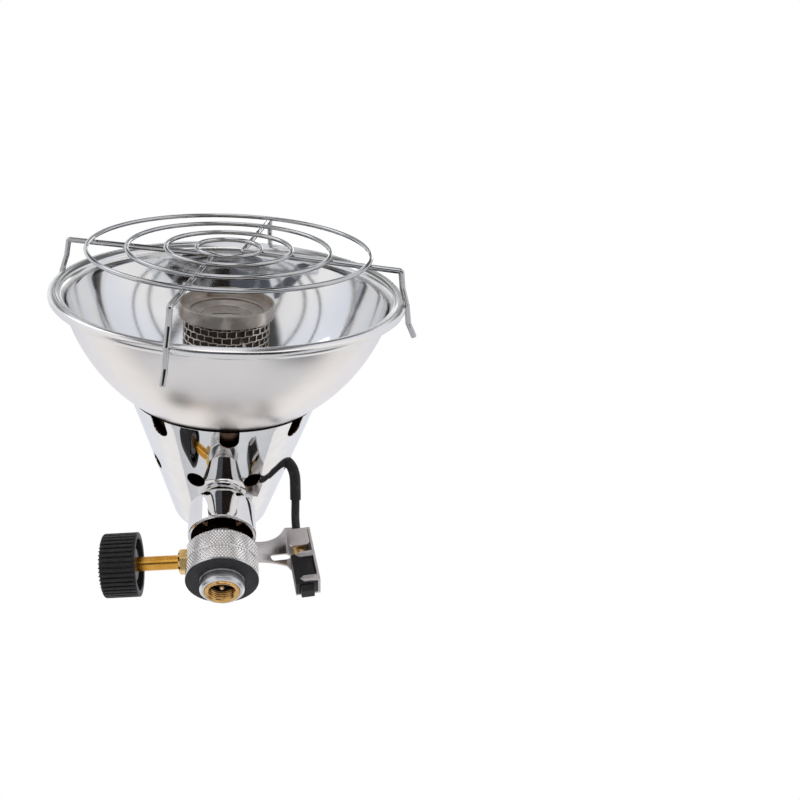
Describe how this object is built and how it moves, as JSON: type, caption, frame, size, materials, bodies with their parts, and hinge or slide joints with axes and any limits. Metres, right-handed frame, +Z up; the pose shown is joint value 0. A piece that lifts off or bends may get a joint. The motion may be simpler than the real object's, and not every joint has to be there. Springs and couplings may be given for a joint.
{
  "type": "portable propane heater",
  "caption": "Dish heater that screws onto a gas canister, with a control knob, push igniter, mesh burner and wire grill.",
  "frame": {"origin": "on the axis of the canister thread, where its full wall starts 0.7 mm above the chamfered mouth", "axes": "+Z up along the canister, valve and neck axis; the dish looks to -Y, turned 6.5 degrees to +X and tilted up 18.4 degrees; the control knob points to -X and the igniter stands at +X +Y"},
  "size_m": [0.1539, 0.1484, 0.1685],
  "materials": {
    "brass": "turned, satin",
    "valve_alloy": "knurled and turned, satin",
    "plated": "bright plated",
    "collar_plate": "bright plated",
    "rubber": "matt black",
    "knob_black": "fine matt black",
    "dial_white": "white with a red tapering arc",
    "cone_plate": "bright plated sheet",
    "dish_alloy": "spun, satin outside and bright inside",
    "burner_steel": "stainless sheet with heat tint",
    "burner_wire": "woven wire",
    "grill_wire": "bright plated wire",
    "bracket_sheet": "satin stainless sheet",
    "igniter_black": "black moulding",
    "spring_steel": "wire",
    "lead_black": "black silicone",
    "ceramic_white": "unglazed white",
    "tube_steel": "plain steel"
  },
  "bodies": {
    "heater": {"thread_insert": "brass", "depressor_pin": "brass", "canister_seal": "rubber", "canister_collar": "collar_plate", "canister_gasket": "rubber", "valve_body": "valve_alloy", "gland_nut": "brass", "spindle_seals": "rubber", "outlet_neck": "plated", "gas_jet": "brass", "joint_cup": "plated", "mixing_tube": "tube_steel", "rear_cone": "cone_plate", "tube_saddle": "tube_steel", "tube_nut": "tube_steel", "reflector_dish": "dish_alloy", "burner_base": "burner_steel", "burner_mesh": "burner_wire", "burner_cap": "burner_steel", "flame_spreader": "burner_steel", "electrode_ceramic": "ceramic_white", "electrode_rod": "spring_steel", "electrode_clip": "burner_steel", "grill_ring_1": "grill_wire", "grill_ring_2": "grill_wire", "grill_ring_3": "grill_wire", "grill_ring_4": "grill_wire", "grill_wire_1": "grill_wire", "grill_wire_2": "grill_wire", "igniter_body": "igniter_black", "igniter_spring": "spring_steel", "igniter_terminal": "brass", "igniter_bracket": "bracket_sheet", "ignition_lead": "lead_black", "lead_sleeve": "lead_black"},
    "control": {"knob": "knob_black", "knob_dial": "dial_white", "valve_spindle": "brass"},
    "igniter_push": {"igniter_button": "igniter_black"}
  },
  "joints": [
    {"name": "knob_turn", "type": "hinge", "parent": "heater", "child": "control", "pos_m": [-0.034, 0, 0.0156], "axis": [-1, 0, 0], "range_deg": [0, 210]},
    {"name": "igniter_push_slide", "type": "slide", "parent": "heater", "child": "igniter_push", "axis": [-0.0958, 0, 0.9954], "range_m": [0, 0.0025], "stiffness_N_per_m": 2500, "springref_m": -0.001, "deforming": ["igniter_spring"]}
  ]
}
